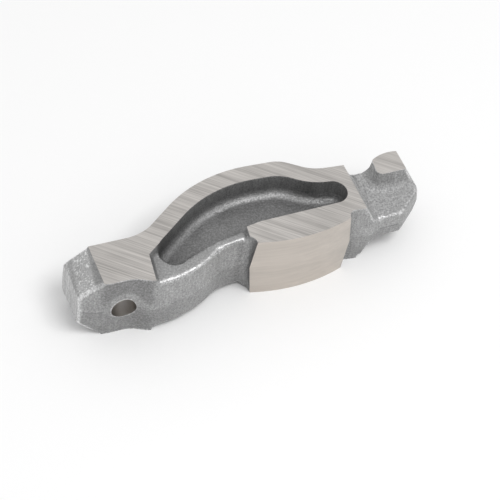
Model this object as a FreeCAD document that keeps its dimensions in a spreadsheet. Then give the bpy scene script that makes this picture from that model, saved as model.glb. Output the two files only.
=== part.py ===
import FreeCAD, Part
import math
import os

import Sketcher

# Rocker arm of an overhead-cam engine: one steel forging with a ball seat at one end, a crowned
# cam pad in the middle and a foot for the valve stem at the other end. It lies on one of its two
# ground side faces. X runs along the arm from the ball seat to the foot, Y points away from the
# cam, and Z is across the arm. The origin is the centre of the ball in its seat, on the parting
# plane that the two halves of the forging mirror.

# Sizes in mm and degrees
SIZES = {
    "half_width": 8.5,  # each ground side face from the parting plane
    "draft": 6.0,  # forging draft of the outer walls, out towards the parting plane
    "rim": 4.0,  # wall round the back of the side pockets, at the ground face
    "cross_tilt": 7.5,  # the end faces lean this much from square to X
    # ends, measured along the leaning axis
    "seat_end_land": -5.7,  # edge of the ground face
    "seat_end_face": -10.9,  # flat end face
    "seat_end_half": 4.2,  # half the height of that face
    "seat_end_crown": -8.55,  # the slope between them swells out to here
    "seat_end_crown_z": 6.75,
    "seat_end_crown_round": 20.0,
    "foot_end_land": 68.6,
    "foot_end_web": 71.5,
    "foot_end_ridge": 71.9,
    # side pockets
    "pocket_depth": 5.3,
    "pocket_draft": 4.0,
    "pocket_floor_round": 2.2,
    "pocket_shoulder_round": 9.0,
    # low shelf between the ball seat and the cam pad
    "shelf_drop": 1.2,
    "shelf_draft": 35.0,
    "shelf_start": 6.4,
    "shelf_end": 28.6,
    "shelf_step_back": -4.0,  # where its two ends meet its back side
    "shelf_pad_back": 0.0,
    # thin tip that carries the foot
    "web_half": 3.0,
    "recess_lean": 6.0,  # the recess grows deeper from the back to the front
    "recess_draft": 8.0,
    "step_draft": 27.0,
    "recess_round": 2.2,
    # ground crown of the foot
    "foot_radius": 8.5,
    "foot_centre_x": 66.2,
    "foot_centre_y": 7.5,
    "foot_crown_start": 61.0,
    "foot_crown_end": 71.4,
    "foot_crown_root": 12.0,
    # ground cam pad
    "pad_radius": 38.5,
    "pad_centre_x": 35.0,
    "pad_centre_y": 33.45,
    "pad_cut_start": 27.6,
    "pad_cut_end": 53.0,
    # ball seat and the hole through it
    "ball_radius": 5.0,
    "seat_mouth": 1.0,
    "seat_chamfer": 0.4,
    "spot_face_radius": 5.9,
    "hole_radius": 2.75,
}

# Corners of the ground side face's outline: x, y and the radius that rounds them
OUTLINE = {
    "seat_end_back": (-14.0, -0.8, 0.0),
    "throat": (6.2, 1.5, 10.8),
    "hump": (21.5, 16.1, 31.5),
    "shoulder": (40.2, 17.3, 7.2),
    "saddle": (47.0, 13.6, 9.5),
    "neck_back": (51.5, 13.65, 8.0),
    "foot_end_back": (73.0, 14.6, 0.0),
    "foot_end_front": (73.0, 11.8, 0.0),
    "tip_corner": (65.3, 3.05, 1.2),
    "tip_front": (59.9, 2.25, 3.5),
    "neck_front": (57.0, 0.8, 3.0),
    "pad_right": (51.9, 0.8, 1.6),
    "stock_right": (50.9, -6.6, 0.0),
    "stock_left": (30.1, -6.6, 0.0),
    "pad_left": (29.5, -1.8, 2.4),
    "waist": (22.9, -3.3, 10.0),
    "belly": (14.9, -9.3, 24.0),
    "knee": (6.2, -11.2, 2.5),
    "brow": (1.9, -9.8, 7.0),
    "cheek": (-3.5, -10.45, 8.0),
    "seat_end_front": (-14.0, -8.8, 0.0),
}

# Corners of the pocket's front side at the ground face. Its back side follows the outline at the
# rim's width.
POCKET_FRONT = {
    "pocket_heel": (8.45, -1.9, 3.2),
    "pocket_toe": (9.6, -8.2, 3.2),
    "pocket_waist": (20.5, -2.4, 8.0),
    "pocket_pad": (31.9, 1.0, 5.8),
    "pocket_nose": (54.5, 4.0, 3.1),
    "pocket_end": (51.8, 9.65, 3.1),
}

# The shelf's cut, from the step beside the ball seat to the cam pad, stays inside the pocket at
# its back
SHELF_BACK = {
    "shelf_back_left": (9.2, -1.3, 0.0),
    "shelf_back_right": (29.3, 1.3, 0.0),
}

# The recess of the tip, on its leaning plane: a band along the step at the rim's end and, from
# inside that band, the whole of the tip in front of the foot
STEP_BAND = {
    "step_back": (52.3, 20.0, 0.0),
    "step_front": (56.85, -5.0, 0.0),
    "band_front": (63.45, -5.0, 0.0),
    "band_back": (58.9, 20.0, 0.0),
}
RECESS = {
    "recess_back": (54.8, 20.0, 0.0),
    "recess_front": (59.35, -5.0, 0.0),
    "tip_right": (80.0, -5.0, 0.0),
    "foot_front_right": (80.0, 12.2, 0.0),
    "foot_front_left": (61.15, 9.8, 1.2),
    "foot_back_left": (61.15, 14.0, 1.0),
    "foot_back_right": (67.15, 20.0, 0.0),
}

FAR = 60.0  # how far the tool sketches reach past the forging
SIGNS = {"+": 1, "-": -1}
NEAR = 0.01  # two places this close are the same
PROBE = 0.05  # how far beside an edge its two sides are told apart
TOLERANCE = 0.0005  # of the inside test there
FULL_TURN = 360.0


def add_sizes(document):
    """The sheet of driving sizes."""
    sheet = document.addObject("Spreadsheet::Sheet", "Sizes")
    values = dict(SIZES)
    for corners in (OUTLINE, POCKET_FRONT, SHELF_BACK, STEP_BAND, RECESS):
        for name, (x, y, radius) in corners.items():
            values[name + "_x"] = x
            values[name + "_y"] = y
            if radius:
                values[name + "_round"] = radius
    for row, (name, value) in enumerate(values.items(), start=1):
        sheet.set("A%d" % row, name)
        sheet.set("B%d" % row, str(value))
        sheet.setAlias("B%d" % row, name)
    document.recompute()
    return sheet


class Profile:
    """A closed sketch of straight sides joined by tangent arcs, bound to the sheet."""

    def __init__(self, body, name, role, lift=None, tilt=None):
        self.sheet = body.Document.getObject("Sizes")
        self.sketch = body.newObject("Sketcher::SketchObject", name)
        plane = [item for item in body.Origin.OriginFeatures if item.Role == role][0]
        self.sketch.AttachmentSupport = [(plane, "")]
        self.sketch.MapMode = "FlatFace"
        if tilt:
            axis = FreeCAD.Vector(1, 0, 0) if role == "XY_Plane" else FreeCAD.Vector(0, 1, 0)
            turn = FreeCAD.Rotation(axis, self.size(tilt))
            self.sketch.AttachmentOffset = FreeCAD.Placement(FreeCAD.Vector(), turn)
            self.sketch.setExpression("AttachmentOffset.Rotation.Angle", "Sizes." + tilt)
        if lift:
            self.sketch.setExpression("AttachmentOffset.Base.z", "Sizes." + lift)
        self.points = {}

    def size(self, value):
        """A number, or what the sheet says of a name or a sum of names."""
        if not isinstance(value, str):
            return float(value)
        total = 0.0
        sign = 1
        for word in value.split():
            if word in SIGNS:
                sign = SIGNS[word]
            else:
                total += sign * float(self.sheet.get(word))
        return total

    def bind(self, kind, *items):
        """Adds a constraint; a last item that names a size binds it to that size."""
        value = items[-1]
        if isinstance(value, int):
            return self.sketch.addConstraint(Sketcher.Constraint(kind, *items))
        constraint = Sketcher.Constraint(kind, *items[:-1], self.size(value))
        index = self.sketch.addConstraint(constraint)
        if isinstance(value, str):
            words = [word if word in SIGNS else "Sizes." + word for word in value.split()]
            self.sketch.setExpression("Constraints[%d]" % index, " ".join(words))
        return index

    def point(self, x, y):
        """A construction point at two sizes or numbers."""
        if (x, y) not in self.points:
            place = FreeCAD.Vector(self.size(x), self.size(y), 0)
            index = self.sketch.addGeometry(Part.Point(place), True)
            self.bind("DistanceX", -1, 1, index, 1, x)
            self.bind("DistanceY", -1, 1, index, 1, y)
            self.points[x, y] = (index, place)
        return self.points[x, y]

    def close(self, sides, rounds):
        """Draws the sides, each from a point to a point and set in by a size or none.

        The round at place i joins side i to the next one; None leaves that corner sharp.
        """
        count = len(sides)
        lines = []
        for start, end, inset in sides:
            first = self.point(*start)
            second = self.point(*end)
            along = (second[1] - first[1]).normalize()
            across = FreeCAD.Vector(-along.y, along.x, 0) * (self.size(inset) if inset else 0.0)
            lines.append((first, second, along, across, inset))
        corners = [crossing(lines[i], lines[(i + 1) % count]) for i in range(count)]
        reach = []
        for i in range(count):
            turn = lines[i][2].getAngle(lines[(i + 1) % count][2])
            reach.append(self.size(rounds[i]) * math.tan(turn / 2) if rounds[i] else 0.0)
        drawn = []
        for i, (first, second, along, across, inset) in enumerate(lines):
            start = corners[i - 1] + along * reach[i - 1]
            end = corners[i] - along * reach[i]
            index = self.sketch.addGeometry(Part.LineSegment(start, end), False)
            drawn.append((index, end, start))
            if inset:
                guide = self.sketch.addGeometry(Part.LineSegment(first[1], second[1]), True)
                self.bind("Coincident", guide, 1, first[0], 1)
                self.bind("Coincident", guide, 2, second[0], 1)
                self.bind("Parallel", index, guide)
                self.bind("Distance", index, 1, guide, inset)
            else:
                self.bind("PointOnObject", first[0], 1, index)
                self.bind("PointOnObject", second[0], 1, index)
        for i in range(count):
            after = (i + 1) % count
            if not rounds[i]:
                self.bind("Coincident", drawn[i][0], 2, drawn[after][0], 1)
                continue
            self.corner(drawn[i], drawn[after], lines[i][2], lines[after][2], rounds[i])
        return self.sketch

    def corner(self, before, after, along, onward, radius):
        """A tangent arc from the end of one side to the start of the next."""
        left = along.cross(onward).z > 0
        normal = FreeCAD.Vector(-along.y, along.x, 0) * (1 if left else -1)
        centre = before[1] + normal * self.size(radius)
        circle = Part.Circle(centre, FreeCAD.Vector(0, 0, 1), self.size(radius))
        ends = [before[1], after[2]] if left else [after[2], before[1]]
        angles = [math.atan2(end.y - centre.y, end.x - centre.x) for end in ends]
        arc = self.sketch.addGeometry(Part.ArcOfCircle(circle, angles[0], angles[1]), False)
        self.bind("Tangent", before[0], 2, arc, 1 if left else 2)
        self.bind("Tangent", after[0], 1, arc, 2 if left else 1)
        self.bind("Radius", arc, radius)


def crossing(one, two):
    """Where two sides' lines cross."""
    start = one[0][1] + one[3]
    other = two[0][1] + two[3]
    share = (other - start).cross(two[2]).z / one[2].cross(two[2]).z
    return start + one[2] * share


def corner_points(names):
    return [(name + "_x", name + "_y") for name in names]


def ring(corners):
    """Sides from corner to corner of a table, and their rounds."""
    names = list(corners)
    points = corner_points(names)
    sides = [(start, end, None) for start, end in zip(points, points[1:] + points[:1])]
    rounds = [name + "_round" if corners[name][2] else None for name in names[1:] + names[:1]]
    return sides, rounds


def arc_profile(body, name, centre, radius, start, end, base, upper):
    """A closed sketch under or over an arc of a large circle, from one x to another."""
    profile = Profile(body, name, "XY_Plane")
    sketch = profile.sketch
    middle = FreeCAD.Vector(profile.size(centre[0]), profile.size(centre[1]), 0)
    reach = profile.size(radius)
    sign = 1 if upper else -1
    left, right = [
        FreeCAD.Vector(x, middle.y + sign * math.sqrt(reach ** 2 - (x - middle.x) ** 2), 0)
        for x in (profile.size(start), profile.size(end))
    ]
    low_left = FreeCAD.Vector(left.x, profile.size(base), 0)
    low_right = FreeCAD.Vector(right.x, profile.size(base), 0)
    ends = [right, left] if upper else [left, right]
    angles = [math.atan2(end_point.y - middle.y, end_point.x - middle.x) for end_point in ends]
    circle = Part.Circle(middle, FreeCAD.Vector(0, 0, 1), reach)
    arc = sketch.addGeometry(Part.ArcOfCircle(circle, angles[0], angles[1]), False)
    right_side = sketch.addGeometry(Part.LineSegment(right, low_right), False)
    bottom = sketch.addGeometry(Part.LineSegment(low_right, low_left), False)
    left_side = sketch.addGeometry(Part.LineSegment(low_left, left), False)
    profile.bind("Coincident", arc, 1 if upper else 2, right_side, 1)
    profile.bind("Coincident", right_side, 2, bottom, 1)
    profile.bind("Coincident", bottom, 2, left_side, 1)
    profile.bind("Coincident", left_side, 2, arc, 2 if upper else 1)
    profile.bind("Vertical", right_side)
    profile.bind("Vertical", left_side)
    profile.bind("Horizontal", bottom)
    profile.bind("DistanceX", -1, 1, arc, 3, centre[0])
    profile.bind("DistanceY", -1, 1, arc, 3, centre[1])
    profile.bind("Radius", arc, radius)
    profile.bind("DistanceX", -1, 1, bottom, 2, start)
    profile.bind("DistanceX", -1, 1, bottom, 1, end)
    profile.bind("DistanceY", -1, 1, bottom, 1, base)
    return sketch


def add_feature(body, kind, name, sketch, **settings):
    """A pad or pocket of a sketch; a setting given as words is bound to the sheet."""
    feature = body.newObject("PartDesign::" + kind, name)
    feature.Profile = sketch
    sketch.Visibility = False
    for key, value in settings.items():
        if key in ("Length", "TaperAngle"):
            feature.setExpression(key, value)
        else:
            setattr(feature, key, value)
    body.Document.recompute()
    return feature


def add_round(body, name, base, size, chosen):
    """A fillet of the edges of the last feature that a test picks."""
    names = ["Edge%d" % (i + 1) for i, edge in enumerate(base.Shape.Edges) if chosen(edge)]
    fillet = body.newObject("PartDesign::Fillet", name)
    fillet.Base = (base, names)
    fillet.setExpression("Radius", "Sizes." + size)
    body.Document.recompute()
    return fillet


def add_blank(body):
    """Upper half of the drafted forging, from the ground face down to the parting plane."""
    profile = Profile(body, "outline", "XY_Plane", lift="half_width")
    sketch = profile.close(*ring(OUTLINE))
    return add_feature(
        body, "Pad", "blank", sketch,
        Length="Sizes.half_width", TaperAngle="Sizes.draft", Reversed=True,
    )


def add_foot_crown(body):
    """The foot's ground crown has no draft."""
    sketch = arc_profile(
        body, "foot_arc", ("foot_centre_x", "foot_centre_y"), "foot_radius",
        "foot_crown_start", "foot_crown_end", "foot_crown_root", True,
    )
    return add_feature(body, "Pad", "foot_crown", sketch, Length="Sizes.half_width")


def cut_ends(body):
    """Both ends lean, and slope back from their end faces to the ground side face."""
    seat = Profile(body, "seat_end", "XZ_Plane", tilt="cross_tilt")
    crown = ("seat_end_crown", "seat_end_crown_z")
    corners = [
        ("seat_end_land", FAR), (-FAR, FAR), (-FAR, -FAR), ("seat_end_face", -FAR),
        ("seat_end_face", "seat_end_half"), crown, ("seat_end_land", "half_width"),
    ]
    sides = [(one, two, None) for one, two in zip(corners, corners[1:] + corners[:1])]
    rounds = ["seat_end_crown_round" if end == crown else None for _, end, _ in sides]
    add_feature(
        body, "Pocket", "seat_end_cut", seat.close(sides, rounds),
        Type="ThroughAll", SideType="Symmetric",
    )
    foot = Profile(body, "foot_end", "XZ_Plane", tilt="cross_tilt")
    corners = [
        ("foot_end_ridge", -FAR), (2 * FAR, -FAR), (2 * FAR, FAR), ("foot_end_land", FAR),
        ("foot_end_land", "half_width"), ("foot_end_web", "web_half"), ("foot_end_ridge", 0.0),
    ]
    sides = [(one, two, None) for one, two in zip(corners, corners[1:] + corners[:1])]
    return add_feature(
        body, "Pocket", "foot_end_cut", foot.close(sides, [None] * len(sides)),
        Type="ThroughAll", SideType="Symmetric",
    )


def cut_shelf(body):
    """The low shelf beside the pocket, between the ball seat's land and the cam pad's."""
    profile = Profile(body, "shelf", "XY_Plane", lift="half_width")
    corners = [
        ("shelf_start", -FAR), ("shelf_end", -FAR), ("shelf_end", "shelf_pad_back"),
        ("shelf_back_right_x", "shelf_back_right_y"), ("shelf_back_left_x", "shelf_back_left_y"),
        ("shelf_start", "shelf_step_back"),
    ]
    sides = [(one, two, None) for one, two in zip(corners, corners[1:] + corners[:1])]
    return add_feature(
        body, "Pocket", "shelf_cut", profile.close(sides, [None] * len(sides)),
        Length="Sizes.shelf_drop", TaperAngle="-Sizes.shelf_draft",
    )


def cut_pocket(body):
    """The side pocket that leaves a web and a rim; its floor runs up in rounds."""
    profile = Profile(body, "pocket", "XY_Plane", lift="half_width")
    back = corner_points(["neck_back", "saddle", "shoulder", "hump", "throat"])
    front = corner_points(list(POCKET_FRONT))
    sides = [(one, two, "rim") for one, two in zip(back, back[1:])]
    sides += [(one, two, None) for one, two in zip(front, front[1:])]
    rounds = ["saddle_round + rim", "pocket_shoulder_round", "hump_round - rim"]
    rounds += [name + "_round" for name in POCKET_FRONT]
    pocket = add_feature(
        body, "Pocket", "pocket_cut", profile.close(sides, rounds),
        Length="Sizes.pocket_depth", TaperAngle="-Sizes.pocket_draft",
    )
    floor = profile.size("half_width - pocket_depth")
    return add_round(
        body, "pocket_round", pocket, "pocket_floor_round", lambda edge: is_level(edge, floor)
    )


def cut_recess(body):
    """Thins the tip on this side, from the step at the rim's end to the foot."""
    for name, corners in (("step", STEP_BAND), ("recess", RECESS)):
        profile = Profile(body, name, "XY_Plane", lift="half_width", tilt="recess_lean")
        recess = add_feature(
            body, "Pocket", name + "_cut", profile.close(*ring(corners)),
            Length="Sizes.half_width - Sizes.web_half", TaperAngle="-Sizes.%s_draft" % name,
        )
    floor = [face for face in recess.Shape.Faces if is_recess_floor(face, profile)][0]
    return add_round(
        body, "recess_round", recess, "recess_round",
        lambda edge: any(edge.isSame(side) for side in floor.Edges)
        and not is_ridge(recess.Shape, edge),
    )


def is_recess_floor(face, profile):
    """Whether a face is flat and leans as the recess's plane does."""
    if not isinstance(face.Surface, Part.Plane):
        return False
    lean = math.radians(profile.size("recess_lean"))
    normal = FreeCAD.Vector(0, -math.sin(lean), math.cos(lean))
    return (face.normalAt(0, 0) - normal).Length < NEAR


def join_halves(body):
    """The other half of the forging is its mirror image in the parting plane."""
    mirrored = body.newObject("PartDesign::Mirrored", "both_halves")
    mirrored.TransformMode = "Whole shape"
    plane = [item for item in body.Origin.OriginFeatures if item.Role == "XY_Plane"][0]
    mirrored.MirrorPlane = (plane, [""])
    body.Tip = mirrored
    body.Document.recompute()
    return mirrored


def grind_pad(body):
    """The ground cam pad: a cylinder's face across the whole width."""
    sketch = arc_profile(
        body, "pad_arc", ("pad_centre_x", "pad_centre_y"), "pad_radius",
        "pad_cut_start", "pad_cut_end", -FAR, False,
    )
    return add_feature(body, "Pocket", "pad_cut", sketch, Type="ThroughAll", SideType="Symmetric")


def cut_ball_seat(body):
    """The spherical seat, its mouth, its chamfer and the spot face round it."""
    profile = Profile(body, "ball_seat", "XY_Plane")
    sketch = profile.sketch
    radius = profile.size("ball_radius")
    mouth = profile.size("seat_mouth")
    chamfer = profile.size("seat_chamfer")
    spot = profile.size("spot_face_radius")
    corners = [
        (0, -radius), (radius, 0), (radius, mouth - chamfer), (radius + chamfer, mouth),
        (spot, mouth), (spot, FAR), (0, FAR),
    ]
    spots = [FreeCAD.Vector(x, y, 0) for x, y in corners]
    circle = Part.Circle(FreeCAD.Vector(), FreeCAD.Vector(0, 0, 1), radius)
    arc = sketch.addGeometry(Part.ArcOfCircle(circle, -math.pi / 2, 0), False)
    lines = [
        sketch.addGeometry(Part.LineSegment(one, two), False)
        for one, two in zip(spots[1:], spots[2:] + spots[:1])
    ]
    wall, bevel, face, side, top, axis = lines
    profile.bind("Tangent", arc, 2, wall, 1)
    for one, two in zip(lines, lines[1:] + [arc]):
        profile.bind("Coincident", one, 2, two, 1)
    for line in (wall, side, axis):
        profile.bind("Vertical", line)
    for line in (face, top):
        profile.bind("Horizontal", line)
    profile.bind("Coincident", arc, 3, -1, 1)
    profile.bind("Radius", arc, "ball_radius")
    profile.bind("PointOnObject", axis, 1, -2)
    profile.bind("DistanceY", -1, 1, face, 1, "seat_mouth")
    profile.bind("DistanceX", bevel, 1, bevel, 2, "seat_chamfer")
    profile.bind("DistanceY", bevel, 1, bevel, 2, "seat_chamfer")
    profile.bind("DistanceX", -1, 1, side, 1, "spot_face_radius")
    profile.bind("DistanceY", -1, 1, top, 1, FAR)
    groove = body.newObject("PartDesign::Groove", "ball_seat_cut")
    groove.Profile = sketch
    groove.ReferenceAxis = (sketch, ["V_Axis"])
    groove.Angle = FULL_TURN
    body.Document.recompute()
    return groove


def drill_hole(body):
    """The oil hole runs from the ball seat out of the head's front wall."""
    profile = Profile(body, "hole", "XZ_Plane")
    circle = Part.Circle(FreeCAD.Vector(), FreeCAD.Vector(0, 0, 1), profile.size("hole_radius"))
    index = profile.sketch.addGeometry(circle, False)
    profile.bind("Coincident", index, 3, -1, 1)
    profile.bind("Radius", index, "hole_radius")
    return add_feature(
        body, "Pocket", "hole_cut", profile.sketch, Type="ThroughAll", SideType="Symmetric"
    )


def middle(edge):
    return edge.valueAt((edge.FirstParameter + edge.LastParameter) / 2)


def is_level(edge, height):
    """Whether an edge lies at one height."""
    ends = (edge.valueAt(edge.FirstParameter), edge.valueAt(edge.LastParameter))
    return all(abs(spot.z - height) < NEAR for spot in (middle(edge), *ends))


def is_ridge(shape, edge):
    """Whether the solid is convex at an edge between two faces."""
    spot = middle(edge)
    normals = []
    for face in shape.ancestorsOfType(edge, Part.Face):
        normals.append(face.normalAt(*face.Surface.parameter(spot)))
    beside = spot + (normals[0] - normals[1]) * PROBE
    return not shape.isInside(beside, TOLERANCE, False)


def main():
    document = FreeCAD.newDocument("rocker_arm")
    add_sizes(document)
    body = document.addObject("PartDesign::Body", "rocker_arm")
    body.Label = "rocker_arm"
    add_blank(body)
    add_foot_crown(body)
    cut_shelf(body)
    cut_pocket(body)
    cut_recess(body)
    cut_ends(body)
    join_halves(body)
    grind_pad(body)
    cut_ball_seat(body)
    drill_hole(body)

    for item in document.Objects:
        if "Invalid" in item.State or "Error" in item.State:
            raise RuntimeError("%s failed: %s" % (item.Name, item.getStatusString()))
    if body.Shape.isNull() or not body.Shape.isValid():
        raise RuntimeError("the rocker arm is not a valid solid")
    os.makedirs("parts", exist_ok=True)
    body.Shape.exportStep("parts/rocker_arm.step")
    print("solids", len(body.Shape.Solids), "volume", round(body.Shape.Volume, 1))


main()
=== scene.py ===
import math

import bmesh
import bpy
import numpy as np
from mathutils import Matrix, Vector, kdtree, noise


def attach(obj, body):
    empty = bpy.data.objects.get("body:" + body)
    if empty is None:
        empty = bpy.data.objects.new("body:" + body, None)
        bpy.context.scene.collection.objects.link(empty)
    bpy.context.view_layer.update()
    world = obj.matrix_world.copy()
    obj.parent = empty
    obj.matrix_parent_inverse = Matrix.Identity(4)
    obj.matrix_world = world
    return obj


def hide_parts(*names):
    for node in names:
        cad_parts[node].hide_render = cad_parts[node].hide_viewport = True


# Looks of the rocker arm. Lengths are in millimetres and are brought to Blender's metres by MM. The
# frame is the part's: X along the arm from the ball seat to the foot, Y away from the cam, and Z up
# from the parting plane, which lies midway between the two ground side faces.

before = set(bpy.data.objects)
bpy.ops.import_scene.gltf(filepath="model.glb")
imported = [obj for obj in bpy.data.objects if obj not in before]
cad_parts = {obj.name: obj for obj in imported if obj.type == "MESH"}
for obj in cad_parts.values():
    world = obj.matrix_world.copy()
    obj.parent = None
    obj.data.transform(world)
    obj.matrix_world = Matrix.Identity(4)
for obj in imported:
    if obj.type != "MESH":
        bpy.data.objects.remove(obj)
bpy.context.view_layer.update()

MM = 0.001
WELD = 0.0001
TINY = 1e-12
NODE = "rocker_arm"

# Zones of the skin, numbered in the order of its materials
FORGED, LAND, PAD, FOOT, SEAT, HOLE, EDGE = range(7)

# Ground and machined faces, with the sizes of the part's source
HALF_WIDTH = 8.5
PAD_CENTRE = (35.0, 33.45)
PAD_RADIUS = 38.5
FOOT_CENTRE = (66.2, 7.5)
FOOT_RADIUS = 8.5
FOOT_BACK = 12.0
HOLE_RADIUS = 2.75
SEAT_RADIUS = 5.95
SEAT_DEPTH = -5.2
HEAD_LAND_END = -5.7
STEP = 55.4
TOLERANCE = 0.01

# The skin's triangles, its rounded forged edges and the bright edges of its ground faces
FINE_EDGE = 0.62
COARSE_EDGE = 1.6
SPLIT_ROUNDS = 12
SHARP_ANGLE = math.radians(25.0)
SMOOTH_ANGLE = math.radians(40.0)
ROUND_REACH = 1.35
ROUND_FADE = 0.9
ROUND_STEPS = 5
ROUND_PULL = 0.6
BRIGHT_EDGE = 0.08

# The forged skin's relief: cycles a millimetre and height of each kind, how the grain's octaves get
# weaker and finer, how far from a cell's middle the pits reach, and how near a ground face it fades
RELIEF_START = 7.3
WAVES = (0.28, 0.04)
GRAIN = (1.3, 0.02)
GRAIN_FALLOFF = 0.7
GRAIN_FINER = 2.0
GRAIN_OCTAVES = 3
PITS = (1.5, 0.12)
PIT_EDGE = 0.4
RELIEF_FADE = 0.7

# Places on the arm. A band has its two limits, and heights are counted from the parting plane. A
# fade has the value where it starts to rise from 0 or has fallen to 0, and its width.
PITTED_LENGTH = (8.0, 54.0)
PITTED_BAND = (3.0, 7.2)
PITTED_BEVEL_FADE = (HEAD_LAND_END + 0.4, 0.6)
PITTED_BEVEL_LOW = 4.5
PITTED_RECESS_FADE = (STEP, 1.0)
PITTED_RECESS_LOW = 2.9
UPPER_HALF_FADE = (-0.3, 0.6)
HEAD_FADE = (14.0, 4.0)
HEAD_BEVEL_FADE = (HEAD_LAND_END, 0.6)
HEAD_END_FACING = 0.25
VALLEY = -9.8
VALLEY_FADE = (0.525, 0.35)
FLOOR_LENGTH = (7.0, STEP - 1.6)
FLOOR_BAND = (2.9, 6.9)
FLOOR_FACING = 0.35
FLOOR_ROUND_FADE = (1.0, 0.2)
POCKET_END_FADE = (44.0, 4.0)
POCKET_END_WIDTH = (2.9, 10.6)
POCKET_END_LIMIT = STEP - 0.6
STEP_REACH = 2.5
STEP_LOW = 3.6
STEP_FACING = 0.5
RECESS_FADE = (STEP, 2.0)
RECESS_LOW = 2.8

# The pits' share of the skin, from 0 to 1
PITTED_EVERYWHERE = 0.15
PITTED_POCKET = 0.7

# How bare of scale the skin is, from 0 to 1, which makes it lighter; it also carries a painted shade on
# the lower half, a painted glint on the floor rounds and painted light at the pocket ends
BARE_UPPER_HALF = 0.45
BARE_AND_SHADED_LOWER_HALF = 0.28
BARE_FLOOR = 0.2
PAINTED_GLINT_FLOOR_ROUND = 0.4
BARE_RECESS = 0.57
BARE_STEP = 0.9
BARE_END_FACE = 0.9
BARE_BEVEL = 1.0
BARE_VALLEY = 0.65
HEAD_SCALE = 0.1
POCKET_END_PAINTED_LIGHT = 0.08

# The darker arc above the hole, and two spots: their X and Z, the square of their spread, and how much
# barer they make the skin. The knee's spot is lighter; the one below and right of the hole is darker, a
# painted shade
HEAD_FRONT = -4.0
ARC_RADIUS_FADE = (4.2, 0.8)
ARC_LOW_FADE = (1.2, 1.0)
ARC_LEFT_FADE = (-5.5, 1.5)
ARC_RIGHT_FADE = (7.0, 1.5)
ARC_DARK = 0.35
HEAD_SPOTS = (((9.5, 4.0), 9.0, 0.16), ((3.8, -4.0), 6.0, -0.22))

# A worn edge stands out from its neighbours by a share of their distance
RIDGE_GAIN = 12.0
RIDGE_START = 0.7

# The points' values: how far the scale is worn off, which also holds painted light and shade, how dull
# the skin is and how far it stands out
BARE_AND_PAINTED_LIGHT = "bare"
DULL = "dull"
RIDGE = "ridge"

# The metals' patterns, in cycles a millimetre along X, Y and Z
GRAIN_PATTERN = (2.6, 2.6, 2.6)
SPECK_PATTERN = (2.2, 2.2, 2.2)
DRAWN_PATTERN = (2.4, 2.4, 0.12)
CLOUD_PATTERN = (0.15, 0.15, 0.15)
STAIN_PATTERN = (0.12, 0.12, 0.12)
WEAR_PATTERN = (0.8, 0.8, 0.8)
WAVER_PATTERN = (0.5, 0.5, 0.5)

# The forged metal: greys by texture, and what wear, the painted shade of sheltered places, clouds, and
# the painted highlights on ridges and specks do to them
SKIN_GREYS = ((0.3, 0.27), (0.5, 0.36), (0.72, 0.50))
SCALE_LIGHT = 0.72
BARE_LIGHT = 0.8
SHELTER_REACH = 9.0
SHELTER_GAIN = 1.7
SHELTER_PAINTED_SHADE = 0.62
SHELTER_BARE_FADE = (0.57, 0.1)
CLOUD_LIGHT = 0.8
CLOUD_GAIN = 0.4
RIDGE_PAINTED_HIGHLIGHT = 1.5
SPECK_GAIN = 9.0
SPECK_START = 5.2
SPECK_BARE_FADE = (0.9, 0.1)
SKIN_ROUGH = 0.59
CLOUD_ROUGH = 0.25
DULL_ROUGH = 0.25
RIDGE_SMOOTH = 0.1
GRAIN_SMOOTH = 0.5
SKIN_BUMP = (0.8, 0.14)

# The parting line: half its width, how far it wavers, how much it darkens, and what counts as wall
PARTING_HALF = 0.22
PARTING_WAVER = 0.5
PARTING_DARK = 0.35
WALL_LEVEL = 0.5

# The worn edges' greys by wear, lighter than the ground steel: partly a painted highlight
EDGE_GREYS = ((0.3, 0.7), (0.6, 0.95))

# Ground metals: the streaks' direction in degrees, grey, warmth, contrast and streaks a millimetre
GROUND = {
    LAND: dict(name="ground_side", turn=-34.0, light=0.57, warm=0.045, contrast=0.22, across=3.4),
    PAD: dict(name="ground_pad", turn=0.0, light=0.52, warm=0.085, contrast=0.06, across=1.2),
    FOOT: dict(name="ground_foot", turn=0.0, light=0.55, warm=0.05, contrast=0.03, across=1.2),
    SEAT: dict(name="machined_seat", turn=0.0, light=0.45, warm=0.0, contrast=0.03, across=1.5),
    HOLE: dict(name="drilled_hole", turn=90.0, light=0.54, warm=0.05, contrast=0.04, across=1.5),
}
FINE_ALONG = 0.05
BROAD_ALONG = 0.03
BROAD_ACROSS = 0.22
FINE_SHARE = 0.55
BROAD_SHARE = 0.3
STAIN_SHARE = 0.15
GROUND_STOPS = (0.3, 0.5, 0.7)
GROUND_ROUGH = 0.26
STREAK_ROUGH = 0.2
GROUND_BUMP = (0.5, 0.012)

# The photograph's camera, worked out from the arm's outlines
CAMERA_AIM = (30.3, 0.27, 0.0)
CAMERA_DISTANCE = 432.8
CAMERA_TURN = math.radians(21.6)
CAMERA_ELEVATION = math.radians(50.0)
CAMERA_ROLL = math.radians(9.4)
CAMERA_LENS = 144.0
CAMERA_SENSOR = 36.0

# The studio: its floor, its lamp overhead, and the room's light at sines of the elevation
FLOOR_REACH = 1500.0
FLOOR_COLOUR = (0.93, 0.93, 0.93, 1)
LAMP_PLACE = (190.0, -240.0, 640.0)
LAMP_AIM = (30.0, 0.0, 0.0)
LAMP_SIZE = (350.0, 255.0)
LAMP_POWER = 2.06
ROOM = ((0.0, 0.28), (0.22, 0.38), (0.5, 0.74), (1.0, 0.82))


def rise(value, start, width):
    """0 up to the start, 1 from the start plus the width, and straight between."""
    return np.clip((value - start) / width, 0, 1)


def fall(value, end, width):
    """1 up to the end less the width, 0 from the end, and straight between."""
    return np.clip((end - value) / width, 0, 1)


def mix(one, two, share):
    """The first value where the share is 0, the second where it is 1."""
    return one + (two - one) * share


def between(value, band):
    return (value > band[0]) & (value < band[1])


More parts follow.
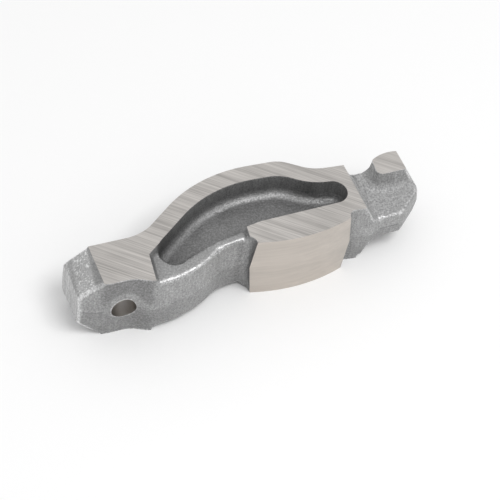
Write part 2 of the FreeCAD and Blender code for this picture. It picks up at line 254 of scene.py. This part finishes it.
def unit(vectors):
    return vectors / np.maximum(np.linalg.norm(vectors, axis=1), TINY)[:, None]


def off_circle(x, y, centre, radius):
    """How far points lie from a circle."""
    return abs(np.hypot(x - centre[0], y - centre[1]) - radius)


def cad_skin():
    """The CAD node's welded points, in millimetres, and its triangles."""
    mesh = bmesh.new()
    mesh.from_mesh(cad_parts[NODE].data)
    bmesh.ops.remove_doubles(mesh, verts=mesh.verts, dist=WELD * MM)
    bmesh.ops.triangulate(mesh, faces=mesh.faces)
    mesh.verts.index_update()
    points = np.array([vertex.co[:] for vertex in mesh.verts]) / MM
    faces = np.array([[vertex.index for vertex in face.verts] for face in mesh.faces])
    mesh.free()
    return points, faces


def zones_of(points, faces):
    """Which zone each triangle lies in."""
    corner = points[faces]
    x, y, z = corner[..., 0], corner[..., 1], corner[..., 2]
    side = np.sign(z.mean(1))[:, None]
    on_foot = y > FOOT_BACK
    in_head = y < 0
    axis = (0.0, 0.0)
    tests = (
        (LAND, abs(z * side - HALF_WIDTH) < TOLERANCE),
        (PAD, off_circle(x, y, PAD_CENTRE, PAD_RADIUS) < TOLERANCE),
        (FOOT, on_foot & (off_circle(x, y, FOOT_CENTRE, FOOT_RADIUS) < TOLERANCE)),
        (HOLE, in_head & (off_circle(x, z, axis, HOLE_RADIUS) < TOLERANCE)),
        (SEAT, (np.hypot(x, z) < SEAT_RADIUS) & (y > SEAT_DEPTH)),
    )
    zone = np.full(len(faces), FORGED)
    for number, inside in tests:
        zone[(zone == FORGED) & inside.all(1)] = number
    return zone


def triangle_sides(faces):
    """The two points of each side: all the triangles' first sides, then their second and third."""
    return np.sort(np.concatenate([faces[:, [0, 1]], faces[:, [1, 2]], faces[:, [2, 0]]]), axis=1)


def split_edges(points, faces, zone):
    """Halves long sides until the forged skin is fine enough to carry its grain."""
    for _ in range(SPLIT_ROUNDS):
        limit = np.tile(np.where(zone == FORGED, FINE_EDGE, COARSE_EDGE), 3)
        unique, place = np.unique(triangle_sides(faces), axis=0, return_inverse=True)
        place = place.reshape(-1)
        finest = np.full(len(unique), COARSE_EDGE)
        np.minimum.at(finest, place, limit)
        length = np.linalg.norm(points[unique[:, 0]] - points[unique[:, 1]], axis=1)
        split = length > finest
        if not split.any():
            break
        midpoint = np.full(len(unique), -1)
        midpoint[split] = len(points) + np.arange(split.sum())
        points = np.concatenate([points, points[unique[split]].mean(1)])
        middle = midpoint[place].reshape(3, -1)
        lengths = length[place].reshape(3, -1)
        faces, zone = split_faces(faces, zone, middle, lengths)
    return points, faces, zone


def split_faces(faces, zone, middle, lengths):
    """The triangles that the split sides leave, one pattern for each count of split sides."""
    new_faces = []
    new_zones = []

    def keep(chosen, *corners):
        if chosen.any():
            new_faces.append(np.stack([corner[chosen] for corner in corners], axis=1))
            new_zones.append(zone[chosen])

    count = (middle >= 0).sum(0)
    a, b, c = faces.T
    ab, bc, ca = middle
    keep(count == 0, a, b, c)
    for corners in ((a, ab, ca), (ab, b, bc), (ca, bc, c), (ab, bc, ca)):
        keep(count == 3, *corners)
    for turn in range(3):
        p, q, r = (faces[:, (turn + step) % 3] for step in range(3))
        pq, qr, rp = (middle[(turn + step) % 3] for step in range(3))
        one = (count == 1) & (pq >= 0)
        keep(one, p, pq, r)
        keep(one, pq, q, r)
        two = (count == 2) & (rp < 0)
        first = two & (lengths[turn] >= lengths[(turn + 1) % 3])
        second = two & ~first
        keep(two, pq, q, qr)
        keep(first, p, pq, r)
        keep(first, pq, qr, r)
        keep(second, p, pq, qr)
        keep(second, p, qr, r)
    return np.concatenate(new_faces), np.concatenate(new_zones)


def face_normals(points, faces):
    a, b, c = (points[faces[:, i]] for i in range(3))
    return np.cross(b - a, c - a)


def point_normals(points, faces):
    normals = np.zeros_like(points)
    across = face_normals(points, faces)
    for i in range(3):
        np.add.at(normals, faces[:, i], across)
    return unit(normals)


def side_pairs(faces):
    """Each side between two triangles: its two points and its two triangles."""
    sides = triangle_sides(faces)
    owner = np.tile(np.arange(len(faces)), 3)
    order = np.lexsort((sides[:, 1], sides[:, 0]))
    sides, owner = sides[order], owner[order]
    paired = (sides[1:] == sides[:-1]).all(1)
    return sides[:-1][paired], owner[:-1][paired], owner[1:][paired]


def neighbour_count(points, sides):
    return np.maximum(np.bincount(sides.reshape(-1), minlength=len(points)), 1)


def neighbour_mean(points, sides):
    """The middle of each point's neighbours."""
    total = np.zeros_like(points)
    for one, two in ((0, 1), (1, 0)):
        np.add.at(total, sides[:, one], points[sides[:, two]])
    return total / neighbour_count(points, sides)[:, None]


def distances(points, marked):
    """How far each point is from the nearest marked one."""
    tree = kdtree.KDTree(len(marked))
    for i, point in enumerate(marked):
        tree.insert(point, i)
    tree.balance()
    return np.array([tree.find(point)[2] for point in points])


def soften_edges(points, faces, zone):
    """Rounds the forging's own edges; the ground faces' edges stay crisp."""
    sides, one, two = side_pairs(faces)
    normals = unit(face_normals(points, faces))
    bent = (normals[one] * normals[two]).sum(1) < math.cos(SHARP_ANGLE)
    forged = (zone[one] == FORGED) & (zone[two] == FORGED)
    soft = np.unique(sides[bent & forged])
    held = np.zeros(len(points), bool)
    held[faces[zone != FORGED]] = True
    near = fall(distances(points, points[soft]), ROUND_REACH, ROUND_FADE)
    near[held] = 0
    for _ in range(ROUND_STEPS):
        points = points + (neighbour_mean(points, sides) - points) * near[:, None] * ROUND_PULL
    return points, held


def relief(point, pitted):
    """Height of the forged skin at a point: long waves, grain and pits."""
    place = Vector(point) + Vector((RELIEF_START, RELIEF_START, RELIEF_START))
    waves = noise.noise(place * WAVES[0]) * WAVES[1]
    grain = noise.fractal(place * GRAIN[0], GRAIN_FALLOFF, GRAIN_FINER, GRAIN_OCTAVES) * GRAIN[1]
    pits = min(noise.voronoi(place * PITS[0])[0][0] - PIT_EDGE, 0) * PITS[1]
    return waves + grain + pits * pitted


def pitted_share(points):
    """How pitted the skin is: most on the head's bevels and in the recesses, then along the pockets."""
    x, y, z = points.T
    height = abs(z)
    bevel = fall(x, *PITTED_BEVEL_FADE) * (height > PITTED_BEVEL_LOW)
    recess = rise(x, *PITTED_RECESS_FADE) * (height > PITTED_RECESS_LOW)
    pocket = (between(x, PITTED_LENGTH) & between(height, PITTED_BAND)) * PITTED_POCKET
    return np.clip(PITTED_EVERYWHERE + bevel + recess + pocket, 0, 1)


def raise_grain(points, faces, held):
    """Sinks the forged skin by its relief, which fades out at the ground faces."""
    normals = point_normals(points, faces)
    fade = rise(distances(points, points[held]), 0, RELIEF_FADE)
    height = np.zeros(len(points))
    share = pitted_share(points)
    for i in np.nonzero(fade > 0)[0]:
        height[i] = relief(points[i], share[i])
    return points + normals * (np.minimum(height, 0.0) * fade)[:, None]


def recess_share(points):
    """One in the recesses behind the step, which are duller than the rest of the skin."""
    x, y, z = points.T
    return rise(x, *RECESS_FADE) * (abs(z) > RECESS_LOW)


def head_front_share(x, y, z):
    """On the head's front: darker in an arc above the hole, a lighter knee, and a painted shade below and
    right of the hole.
    """
    arc = rise(np.hypot(x, z), *ARC_RADIUS_FADE) * rise(z, *ARC_LOW_FADE)
    arc *= rise(x, *ARC_LEFT_FADE) * fall(x, *ARC_RIGHT_FADE)
    share = -ARC_DARK * arc
    for (along, up), spread, change in HEAD_SPOTS:
        share += change * np.exp(-((x - along) ** 2 + (z - up) ** 2) / spread)
    return share * (y < HEAD_FRONT)


def bare_and_painted_light_share(points, normals):
    """How far the dark scale is worn off, most at the head's end and the step, least in the pockets, with
    painted shade on the lower halves and beside the hole, a painted glint on the floor rounds and painted
    light at the pocket ends.
    """
    x, y, z = points.T
    height = abs(z)
    level = abs(normals[:, 2])
    facing = normals[:, 0]
    # The upper half is barer and the lower half darker; the lower half's darkness is partly a painted
    # shade
    share = mix(BARE_AND_SHADED_LOWER_HALF, BARE_UPPER_HALF, rise(z, *UPPER_HALF_FADE))
    share -= HEAD_SCALE * fall(x, *HEAD_FADE)
    # The pocket floors are darker; their rounds up to the walls are lighter, a painted glint
    floor = between(x, FLOOR_LENGTH) & between(height, FLOOR_BAND) & (level > FLOOR_FACING)
    share = np.where(floor, mix(BARE_FLOOR, PAINTED_GLINT_FLOOR_ROUND, fall(level, *FLOOR_ROUND_FADE)), share)
    # Painted light on the pockets' far ends, whose walls face the light
    lit_pocket_end = (x < POCKET_END_LIMIT) & between(y, POCKET_END_WIDTH) & (height > FLOOR_BAND[0])
    share += POCKET_END_PAINTED_LIGHT * rise(x, *POCKET_END_FADE) * lit_pocket_end
    share += head_front_share(x, y, z)
    share = np.maximum(share, BARE_RECESS * recess_share(points))
    step = (abs(x - STEP) < STEP_REACH) & (height > STEP_LOW) & (facing > STEP_FACING)
    share[step] = BARE_STEP
    bevel = mix(BARE_BEVEL, BARE_VALLEY, fall(abs(x - VALLEY), *VALLEY_FADE))
    end_share = np.where(level > HEAD_END_FACING, bevel, BARE_END_FACE)
    end = fall(x, *HEAD_BEVEL_FADE) * (facing < -HEAD_END_FACING)
    return np.maximum(share, end * end_share)


def ridge_share(points, faces, normals):
    """One where the skin is a worn edge: it stands out by a seventh of the way to its neighbours."""
    sides, _, _ = side_pairs(faces)
    length = np.linalg.norm(points[sides[:, 0]] - points[sides[:, 1]], axis=1)
    reach = np.zeros(len(points))
    for end in (0, 1):
        np.add.at(reach, sides[:, end], length)
    spacing = np.maximum(reach, TINY) / neighbour_count(points, sides)
    out = ((points - neighbour_mean(points, sides)) * normals).sum(1)
    return np.clip(RIDGE_GAIN * out / spacing - RIDGE_START, 0, 1)


def skin_values(points, faces):
    """What the points carry for the forged metal."""
    normals = point_normals(points, faces)
    ridge = ridge_share(points, faces, normals)
    return {BARE_AND_PAINTED_LIGHT: bare_and_painted_light_share(points, normals), DULL: recess_share(points) * (1 - ridge), RIDGE: ridge}


def join_skin(points, faces, zone, values):
    """The skin as one mesh whose triangles know their zones and whose points know their values."""
    mesh = bmesh.new()
    layers = {name: mesh.verts.layers.float.new(name) for name in values}
    corners = [mesh.verts.new(point * MM) for point in points]
    for name, layer in layers.items():
        for corner, value in zip(corners, values[name]):
            corner[layer] = value
    for triangle, number in zip(faces, zone):
        face = mesh.faces.new([corners[i] for i in triangle])
        face.material_index = int(number)
        face.smooth = True
    return mesh


def bevel_ground_edges(mesh):
    """Breaks the sharp edges between two zones into thin bright bands."""
    crisp = [
        side for side in mesh.edges
        if len(side.link_faces) == 2
        and side.link_faces[0].material_index != side.link_faces[1].material_index
        and side.calc_face_angle(0) > SHARP_ANGLE
    ]
    bmesh.ops.bevel(
        mesh, geom=crisp, offset=BRIGHT_EDGE * MM, segments=2, profile=0.5,
        affect="EDGES", material=EDGE, clamp_overlap=False,
    )


def shade_smooth(mesh):
    """Smooths the sides within a zone, apart from its corners."""
    for side in mesh.edges:
        if len(side.link_faces) == 2:
            one, two = (face.material_index for face in side.link_faces)
            side.smooth = (one == two and side.calc_face_angle(0) < SMOOTH_ANGLE)


def build_skin():
    """The arm's skin: the CAD node's shape with rounded forged edges, relief and bright ground edges."""
    points, faces = cad_skin()
    zone = zones_of(points, faces)
    points, faces, zone = split_edges(points, faces, zone)
    points, held = soften_edges(points, faces, zone)
    points = raise_grain(points, faces, held)
    mesh = join_skin(points, faces, zone, skin_values(points, faces))
    bevel_ground_edges(mesh)
    shade_smooth(mesh)
    data = bpy.data.meshes.new("forging")
    mesh.to_mesh(data)
    mesh.free()
    skin = bpy.data.objects.new("forging", data)
    bpy.context.scene.collection.objects.link(skin)
    return skin


class Shading:
    """A material's nodes, added one after another."""

    def __init__(self, name):
        self.material = bpy.data.materials.new(name)
        self.material.use_nodes = True
        self.tree = self.material.node_tree
        self.shader = self.tree.nodes["Principled BSDF"]
        self.coordinates = self.add("ShaderNodeTexCoord")
        self.place = self.coordinates.outputs["Object"]

    def add(self, kind, **settings):
        node = self.tree.nodes.new(kind)
        for key, value in settings.items():
            setattr(node, key, value)
        return node

    def link(self, source, socket):
        self.tree.links.new(source, socket)

    def set(self, **values):
        for name, value in values.items():
            self.shader.inputs[name.replace("_", " ")].default_value = value

    def math(self, operation, *values, clamp=False):
        node = self.add("ShaderNodeMath", operation=operation, use_clamp=clamp)
        for socket, value in zip(node.inputs, values):
            if isinstance(value, (int, float)):
                socket.default_value = value
            else:
                self.link(value, socket)
        return node.outputs[0]

    def plus(self, one, two):
        return self.math("ADD", one, two)

    def times(self, one, two):
        return self.math("MULTIPLY", one, two)

    def line(self, value, slope, start, clamp=False):
        """The value times the slope, plus the start."""
        return self.math("MULTIPLY_ADD", value, slope, start, clamp=clamp)

    def rise(self, value, start, width):
        return self.line(value, 1 / width, -start / width, clamp=True)

    def fall(self, value, end, width):
        return self.line(value, -1 / width, end / width, clamp=True)

    def pattern(self, cycles, turn=0.0, detail=2.0, roughness=0.5):
        """Noise of so many cycles a millimetre along each axis, turned about Z by degrees."""
        spin = self.add("ShaderNodeVectorRotate", rotation_type="Z_AXIS")
        spin.inputs["Angle"].default_value = math.radians(-turn)
        self.link(self.place, spin.inputs["Vector"])
        size = self.add("ShaderNodeVectorMath", operation="MULTIPLY")
        size.inputs[1].default_value = [value / MM for value in cycles]
        self.link(spin.outputs[0], size.inputs[0])
        node = self.add("ShaderNodeTexNoise")
        node.inputs["Scale"].default_value = 1.0
        node.inputs["Detail"].default_value = detail
        node.inputs["Roughness"].default_value = roughness
        self.link(size.outputs[0], node.inputs["Vector"])
        return node.outputs["Fac"]

    def colours(self, source, stops):
        """Colours by the source's value: each stop has its value and its colour."""
        node = self.add("ShaderNodeValToRGB")
        elements = node.color_ramp.elements
        while len(elements) < len(stops):
            elements.new(0.5)
        for element, (place, colour) in zip(elements, stops):
            element.position = place
            element.color = (*colour, 1.0)
        self.link(source, node.inputs["Fac"])
        return node.outputs["Color"]

    def scaled(self, colour, factor):
        node = self.add("ShaderNodeVectorMath", operation="SCALE")
        self.link(colour, node.inputs[0])
        self.link(factor, node.inputs["Scale"])
        return node.outputs[0]

    def carried(self, name):
        """A value that the mesh's points carry."""
        return self.add("ShaderNodeAttribute", attribute_name=name).outputs["Fac"]

    def level(self):
        """One where the surface faces up or down, and zero on the walls."""
        split = self.add("ShaderNodeSeparateXYZ")
        self.link(self.coordinates.outputs["Normal"], split.inputs[0])
        return self.math("ABSOLUTE", split.outputs["Z"])

    def openness(self, reach):
        """One in the open, less where the piece itself shelters the surface within the reach."""
        node = self.add("ShaderNodeAmbientOcclusion", samples=8, only_local=True)
        node.inputs["Distance"].default_value = reach * MM
        return node.outputs["AO"]

    def bump(self, height, strength, distance):
        node = self.add("ShaderNodeBump")
        node.inputs["Strength"].default_value = strength
        node.inputs["Distance"].default_value = distance * MM
        self.link(height, node.inputs["Height"])
        self.link(node.outputs["Normal"], self.shader.inputs["Normal"])


def grey(value, warm=0.0):
    return (value * (1 + warm), value, value * (1 - warm))


def grey_stops(stops, warm=0.0):
    return [(place, grey(value, warm)) for place, value in stops]


def ground_steel(name, turn, light, warm, contrast, across):
    """Steel ground in one direction, with streaks of several widths."""
    shading = Shading(name)
    shading.set(Metallic=1.0)
    wide = across * BROAD_ACROSS
    fine = shading.pattern((FINE_ALONG, across, across), turn, detail=3, roughness=0.6)
    broad = shading.pattern((BROAD_ALONG, wide, wide), turn)
    stain = shading.pattern(STAIN_PATTERN)
    mixed = shading.plus(shading.times(fine, FINE_SHARE), shading.times(broad, BROAD_SHARE))
    mixed = shading.plus(mixed, shading.times(stain, STAIN_SHARE))
    greys = (light - contrast, light, light + contrast)
    colour = shading.colours(mixed, grey_stops(zip(GROUND_STOPS, greys), warm))
    shading.link(colour, shading.shader.inputs["Base Color"])
    rough = shading.line(mixed, STREAK_ROUGH, GROUND_ROUGH)
    shading.link(rough, shading.shader.inputs["Roughness"])
    shading.bump(fine, *GROUND_BUMP)
    return shading.material


def parting_line(shading, level):
    """Darkens a thin wavering line round the walls where the two dies met."""
    split = shading.add("ShaderNodeSeparateXYZ")
    shading.link(shading.place, split.inputs[0])
    waver = shading.line(shading.pattern(WAVER_PATTERN), PARTING_WAVER, -PARTING_WAVER / 2)
    height = shading.plus(shading.math("DIVIDE", split.outputs["Z"], MM), waver)
    near = shading.fall(shading.math("ABSOLUTE", height), PARTING_HALF, PARTING_HALF)
    wall = shading.math("LESS_THAN", level, WALL_LEVEL)
    return shading.line(shading.times(near, wall), -PARTING_DARK, 1.0)


def painted_shelter_shade(shading, bare):
    """Paints shade into the places that the piece itself shelters, except where the skin is bare."""
    hidden = shading.line(shading.openness(SHELTER_REACH), -SHELTER_GAIN, SHELTER_GAIN, clamp=True)
    shaded_share = shading.fall(bare, *SHELTER_BARE_FADE)
    return shading.line(shading.times(hidden, shaded_share), -SHELTER_PAINTED_SHADE, 1.0)


def painted_glints(shading, bare):
    """Painted glints: bright specks where the skin is barest."""
    speck = shading.line(shading.pattern(SPECK_PATTERN, detail=1), SPECK_GAIN, -SPECK_START, clamp=True)
    return shading.times(speck, shading.rise(bare, *SPECK_BARE_FADE))


def forged_steel():
    """Forged skin: a fine grain, painted shade where it is sheltered, painted highlights on ridges and
    bare specks, and drawn up and down on bare walls.
    """
    shading = Shading("forged_skin")
    shading.set(Metallic=0.85)
    bare = shading.carried(BARE_AND_PAINTED_LIGHT)
    ridge = shading.carried(RIDGE)
    level = shading.level()
    grain = shading.pattern(GRAIN_PATTERN, detail=4, roughness=0.6)
    cloud = shading.pattern(CLOUD_PATTERN, detail=3)
    drawn = shading.line(shading.pattern(DRAWN_PATTERN, detail=3), 1.0, -0.5)

    bare_wall = shading.times(shading.line(level, -1.0, 1.0), bare)
    texture = shading.plus(grain, shading.times(drawn, bare_wall))
    colour = shading.colours(texture, grey_stops(SKIN_GREYS))
    # Wear lightens the skin; the wear values also carry painted light and shade
    shade = shading.line(bare, BARE_LIGHT, SCALE_LIGHT)
    # Painted shade where the piece shelters the skin
    shade = shading.times(shade, painted_shelter_shade(shading, bare))
    shade = shading.times(shade, shading.line(cloud, CLOUD_GAIN, CLOUD_LIGHT))
    shade = shading.times(shade, parting_line(shading, level))
    # Painted highlight: the ridges are lightened along the grain
    shade = shading.plus(shade, shading.times(ridge, shading.times(grain, RIDGE_PAINTED_HIGHLIGHT)))
    # Painted glints on the barest skin
    shade = shading.plus(shade, painted_glints(shading, bare))
    shading.link(shading.scaled(colour, shade), shading.shader.inputs["Base Color"])

    rough = shading.line(cloud, CLOUD_ROUGH, SKIN_ROUGH)
    rough = shading.math("MULTIPLY_ADD", shading.carried(DULL), DULL_ROUGH, rough)
    rough = shading.math("MULTIPLY_ADD", ridge, -RIDGE_SMOOTH, rough)
    rough = shading.math("MULTIPLY_ADD", grain, -GRAIN_SMOOTH, rough)
    shading.link(rough, shading.shader.inputs["Roughness"])
    shading.bump(grain, *SKIN_BUMP)
    return shading.material


def bright_edge():
    """Bright steel along the edges of the ground faces, lighter than the ground steel: worn edges with a
    painted highlight.
    """
    shading = Shading("worn_and_highlit_edge")
    shading.set(Metallic=1.0, Roughness=0.35)
    colour = shading.colours(shading.pattern(WEAR_PATTERN), grey_stops(EDGE_GREYS))
    shading.link(colour, shading.shader.inputs["Base Color"])
    return shading.material


def dress(skin):
    """Gives the skin its materials in the order of the zones."""
    materials = skin.data.materials
    materials.append(forged_steel())
    for zone in (LAND, PAD, FOOT, SEAT, HOLE):
        materials.append(ground_steel(**GROUND[zone]))
    materials.append(bright_edge())


def add_camera():
    forward = Vector((
        math.cos(CAMERA_ELEVATION) * math.sin(CAMERA_TURN),
        math.cos(CAMERA_ELEVATION) * math.cos(CAMERA_TURN),
        -math.sin(CAMERA_ELEVATION),
    ))
    level = Vector((math.cos(CAMERA_TURN), -math.sin(CAMERA_TURN), 0.0))
    upright = level.cross(forward)
    right = level * math.cos(CAMERA_ROLL) + upright * math.sin(CAMERA_ROLL)
    up = upright * math.cos(CAMERA_ROLL) - level * math.sin(CAMERA_ROLL)
    data = bpy.data.cameras.new("camera")
    data.lens = CAMERA_LENS
    data.sensor_width = CAMERA_SENSOR
    camera = bpy.data.objects.new("camera", data)
    turn = Matrix((right, up, -forward)).transposed()
    aim = Vector(CAMERA_AIM) * MM
    camera.matrix_world = Matrix.Translation(aim - forward * CAMERA_DISTANCE * MM) @ turn.to_4x4()
    bpy.context.scene.collection.objects.link(camera)
    bpy.context.scene.camera = camera


def add_floor():
    """A plain pale floor under the arm's lower side face."""
    reach = FLOOR_REACH * MM
    z = -HALF_WIDTH * MM
    corners = [(-reach, -reach, z), (reach, -reach, z), (reach, reach, z), (-reach, reach, z)]
    mesh = bpy.data.meshes.new("floor")
    mesh.from_pydata(corners, [], [(0, 1, 2, 3)])
    floor = bpy.data.objects.new("floor", mesh)
    bpy.context.scene.collection.objects.link(floor)
    shading = Shading("floor")
    shading.set(Base_Color=FLOOR_COLOUR, Roughness=0.9, Specular_IOR_Level=0.1)
    mesh.materials.append(shading.material)


def add_lamp():
    data = bpy.data.lights.new("overhead", "AREA")
    data.shape = "RECTANGLE"
    data.size, data.size_y = (value * MM for value in LAMP_SIZE)
    data.energy = LAMP_POWER
    lamp = bpy.data.objects.new("overhead", data)
    lamp.location = Vector(LAMP_PLACE) * MM
    lamp.rotation_euler = (Vector(LAMP_AIM) - Vector(LAMP_PLACE)).to_track_quat("-Z", "Y").to_euler()
    bpy.context.scene.collection.objects.link(lamp)


def add_room():
    """A soft room: pale above, darker towards the horizon."""
    world = bpy.data.worlds.new("studio")
    bpy.context.scene.world = world
    world.use_nodes = True
    tree = world.node_tree
    place = tree.nodes.new("ShaderNodeTexCoord")
    split = tree.nodes.new("ShaderNodeSeparateXYZ")
    ramp = tree.nodes.new("ShaderNodeValToRGB")
    tree.links.new(place.outputs["Generated"], split.inputs[0])
    tree.links.new(split.outputs["Z"], ramp.inputs["Fac"])
    tree.links.new(ramp.outputs["Color"], tree.nodes["Background"].inputs["Color"])
    stops = ramp.color_ramp.elements
    while len(stops) < len(ROOM):
        stops.new(0.5)
    for stop, (height, light) in zip(stops, ROOM):
        stop.position = height
        stop.color = (light, light, light, 1)


skin = build_skin()
dress(skin)
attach(skin, "root")
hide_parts(NODE)
print("triangles", sum(len(face.vertices) - 2 for face in skin.data.polygons))
add_camera()
add_floor()
add_room()
add_lamp()

bpy.context.scene.view_settings.view_transform = "Standard"
